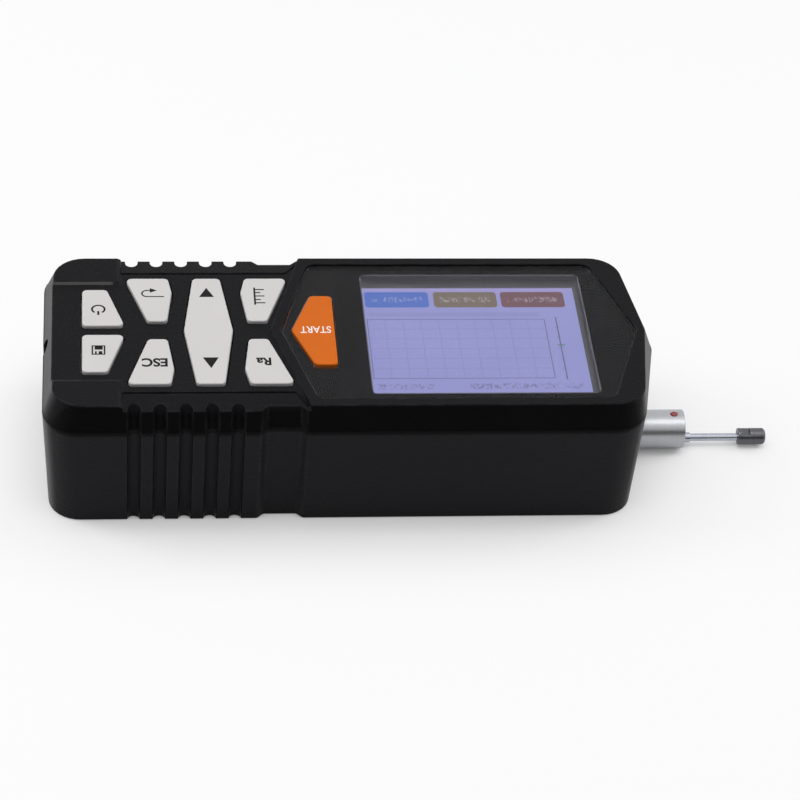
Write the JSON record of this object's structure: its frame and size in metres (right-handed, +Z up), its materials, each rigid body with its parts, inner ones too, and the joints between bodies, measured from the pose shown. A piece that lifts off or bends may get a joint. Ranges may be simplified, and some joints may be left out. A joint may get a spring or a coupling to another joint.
{
  "type": "surface roughness tester",
  "caption": "Handheld surface roughness tester: drafted black housing with keypad and display, and a motor-driven stylus pickup that reaches out of its end.",
  "frame": {"origin": "middle of the housing's length and width on the flat underside", "axes": "+X along the housing towards the pickup, +Y across it towards the power, enter and units keys, +Z up through the keypad"},
  "size_m": [0.1776, 0.0616, 0.0365],
  "materials": {
    "black_plastic": "fine satin texture",
    "lens": "gloss, black printed border",
    "display": "lit colour display",
    "dark_plastic": "matt",
    "white_key": "satin with dark grey print",
    "orange_key": "satin with white print",
    "board_green": "solder mask",
    "steel": "turned or ground",
    "brass": "turned",
    "battery_wrap": "shrink wrap",
    "aluminium": "satin",
    "red_lacquer": "lacquered screw",
    "copper_coil": "enamelled wire",
    "gunmetal": "blackened steel",
    "diamond": "polished"
  },
  "bodies": {
    "housing": {"lower_shell": "black_plastic", "upper_shell": "black_plastic", "window_lens": "lens", "display_panel": "display", "display_tray": "dark_plastic", "tact_switches": "dark_plastic", "main_board": "board_green", "board_screws": "steel", "chips": "dark_plastic", "buzzer": "dark_plastic", "charge_jack": "dark_plastic", "battery_pack": "battery_wrap", "battery_clip": "steel", "clip_screws": "steel", "case_screws": "steel", "threaded_inserts": "brass", "drive_frame": "aluminium", "drive_screws": "steel", "guide_rods": "steel", "drive_motor": "steel", "motor_gearbox": "aluminium", "gearbox_screws": "steel", "screw_bushes": "brass", "limit_switches": "dark_plastic"},
    "lead_screw": {"lead_screw": "steel"},
    "pickup": {"carriage": "dark_plastic", "drive_nut": "brass", "rod_bushes": "brass", "pickup_socket": "dark_plastic", "pickup_plug": "dark_plastic", "pickup_barrel": "aluminium", "index_dot": "red_lacquer", "sensor_coil": "copper_coil", "probe_tube": "steel", "skid_head": "gunmetal", "pivot_pin": "steel"},
    "stylus": {"stylus_arm": "steel", "stylus_tip": "diamond"},
    "arrow_rocker": {"arrow_rocker": "white_key"},
    "power_key": {"power_key": "white_key"},
    "save_key": {"save_key": "white_key"},
    "enter_key": {"enter_key": "white_key"},
    "escape_key": {"escape_key": "white_key"},
    "units_key": {"units_key": "white_key"},
    "parameter_key": {"parameter_key": "white_key"},
    "start_key": {"start_key": "orange_key"}
  },
  "joints": [
    {"name": "pickup_traverse", "type": "slide", "parent": "housing", "child": "pickup", "axis": [1, 0, 0], "range_m": [-0.0175, 0]},
    {"name": "lead_screw_turn", "type": "hinge", "parent": "housing", "child": "lead_screw", "pos_m": [0.02, 0, 0.0141], "axis": [1, 0, 0], "range_deg": [0, 3160]},
    {"name": "stylus_pivot", "type": "hinge", "parent": "pickup", "child": "stylus", "pos_m": [0.0736, 0, 0.0023], "axis": [0, 1, 0], "range_deg": [-0.4, 0.4], "stiffness_Nm_per_rad": 0.01},
    {"name": "arrow_rock", "type": "hinge", "parent": "housing", "child": "arrow_rocker", "pos_m": [-0.034, 0, 0.0322], "axis": [1, 0, 0], "range_deg": [-1.6, 1.6], "stiffness_Nm_per_rad": 0.25},
    {"name": "power_press", "type": "slide", "parent": "housing", "child": "power_key", "axis": [0, 0, -1], "range_m": [0, 0.0006], "stiffness_N_per_m": 800},
    {"name": "save_press", "type": "slide", "parent": "housing", "child": "save_key", "axis": [0, 0, -1], "range_m": [0, 0.0006], "stiffness_N_per_m": 800},
    {"name": "enter_press", "type": "slide", "parent": "housing", "child": "enter_key", "axis": [0, 0, -1], "range_m": [0, 0.0006], "stiffness_N_per_m": 800},
    {"name": "escape_press", "type": "slide", "parent": "housing", "child": "escape_key", "axis": [0, 0, -1], "range_m": [0, 0.0006], "stiffness_N_per_m": 800},
    {"name": "units_press", "type": "slide", "parent": "housing", "child": "units_key", "axis": [0, 0, -1], "range_m": [0, 0.0006], "stiffness_N_per_m": 800},
    {"name": "parameter_press", "type": "slide", "parent": "housing", "child": "parameter_key", "axis": [0, 0, -1], "range_m": [0, 0.0006], "stiffness_N_per_m": 800},
    {"name": "start_press", "type": "slide", "parent": "housing", "child": "start_key", "axis": [0, 0, -1], "range_m": [0, 0.0006], "stiffness_N_per_m": 800}
  ],
  "couplings": [
    {"joint": "lead_screw_turn", "follows": "pickup_traverse", "rad_per_m": -3141.6}
  ]
}
